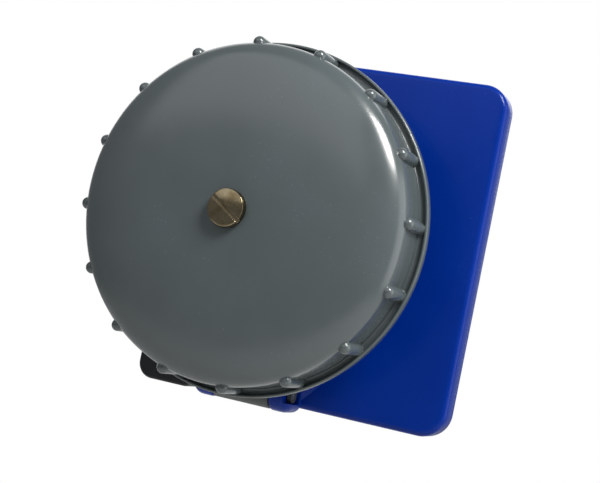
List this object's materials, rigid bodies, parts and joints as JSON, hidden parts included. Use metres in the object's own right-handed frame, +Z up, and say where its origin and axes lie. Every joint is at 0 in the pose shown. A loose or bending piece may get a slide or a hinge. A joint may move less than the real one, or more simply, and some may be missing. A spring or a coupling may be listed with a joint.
{
  "type": "fire alarm bell",
  "caption": "Wall-mounted electric alarm bell: ribbed domed gong over a sliding solenoid striker, on a drum that hinges down from an offset rounded plate.",
  "frame": {"origin": "on the wall face of the plate, straight behind the centre of the gong", "axes": "+X to the bell's right as seen from the front, +Y into the wall, +Z up; the gong's axis is the Y axis"},
  "size_m": [0.163, 0.0782, 0.1543],
  "materials": {
    "plate_paint": "glossy blue stove enamel, smooth rounded edges",
    "gong_paint": "satin-gloss grey paint with slight orange peel",
    "housing_grey": "grey moulded plastic",
    "black_moulding": "black moulded plastic",
    "nickel": "polished nickel plate, slightly brown",
    "zinc_steel": "zinc-plated steel",
    "brass": "bare brass",
    "soft_iron": "plain iron",
    "winding_enamel": "enamelled copper wire, wound in layers",
    "natural_nylon": "natural nylon",
    "rubber": "black rubber",
    "board_green": "glass-fibre board with solder mask",
    "capacitor_sleeve": "shrunk plastic sleeve",
    "terminal_white": "white moulded plastic"
  },
  "bodies": {
    "base": {"backplate": "plate_paint", "cable_grommet": "rubber", "catch_magnet": "black_moulding", "cover_screw_1": "zinc_steel", "cover_screw_2": "zinc_steel", "cover_screw_3": "zinc_steel", "cover_screw_4": "zinc_steel", "fixing_insert_1": "brass", "fixing_insert_2": "brass", "fixing_insert_3": "brass", "fixing_insert_4": "brass", "hinge_pin": "zinc_steel", "lid_screw_1": "zinc_steel", "lid_screw_2": "zinc_steel", "rear_cover": "zinc_steel", "terminal_block": "terminal_white", "terminal_box": "black_moulding", "terminal_box_lid": "black_moulding", "terminal_screw_1": "brass", "terminal_screw_2": "brass", "terminal_screw_3": "brass"},
    "mechanism": {"board_screw_1": "zinc_steel", "board_screw_2": "zinc_steel", "bobbin": "black_moulding", "capacitor": "capacitor_sleeve", "catch_keeper": "zinc_steel", "contact_block": "black_moulding", "contact_bracket": "brass", "frame_screw_1": "zinc_steel", "frame_screw_2": "zinc_steel", "gong": "gong_paint", "gong_post": "zinc_steel", "gong_screw": "nickel", "gong_washer": "rubber", "guide_tube": "brass", "hinge_bush_left": "natural_nylon", "hinge_bush_right": "natural_nylon", "housing": "housing_grey", "lock_nut": "zinc_steel", "rectifier": "black_moulding", "solenoid_frame": "soft_iron", "suppressor_board": "board_green", "winding": "winding_enamel"},
    "striker": {"plunger": "soft_iron", "striker_rod": "zinc_steel", "striker_tip": "natural_nylon", "spring_collar": "zinc_steel", "return_spring": "zinc_steel"},
    "contact": {"contact_leaf": "brass"},
    "adjuster": {"contact_screw": "brass"}
  },
  "joints": [
    {"name": "drum_swing", "type": "hinge", "parent": "base", "child": "mechanism", "pos_m": [0, -0.0185, -0.071], "axis": [1, 0, 0], "range_deg": [0, 90]},
    {"name": "striker_slide", "type": "slide", "parent": "mechanism", "child": "striker", "axis": [0, 0, 1], "range_m": [0, 0.0036], "stiffness_N_per_m": 150, "springref_m": -0.004, "deforming": ["return_spring"]},
    {"name": "contact_flex", "type": "hinge", "parent": "mechanism", "child": "contact", "pos_m": [0.024, -0.049, 0.0082], "axis": [0, 1, 0], "range_deg": [0, 4.2]},
    {"name": "contact_adjust", "type": "hinge", "parent": "mechanism", "child": "adjuster", "pos_m": [0.0125, -0.049, 0], "axis": [0, 0, 1], "range_deg": [-180, 180]}
  ],
  "couplings": [
    {"joint": "contact_flex", "follows": "striker_slide", "rad_per_m": 20}
  ]
}
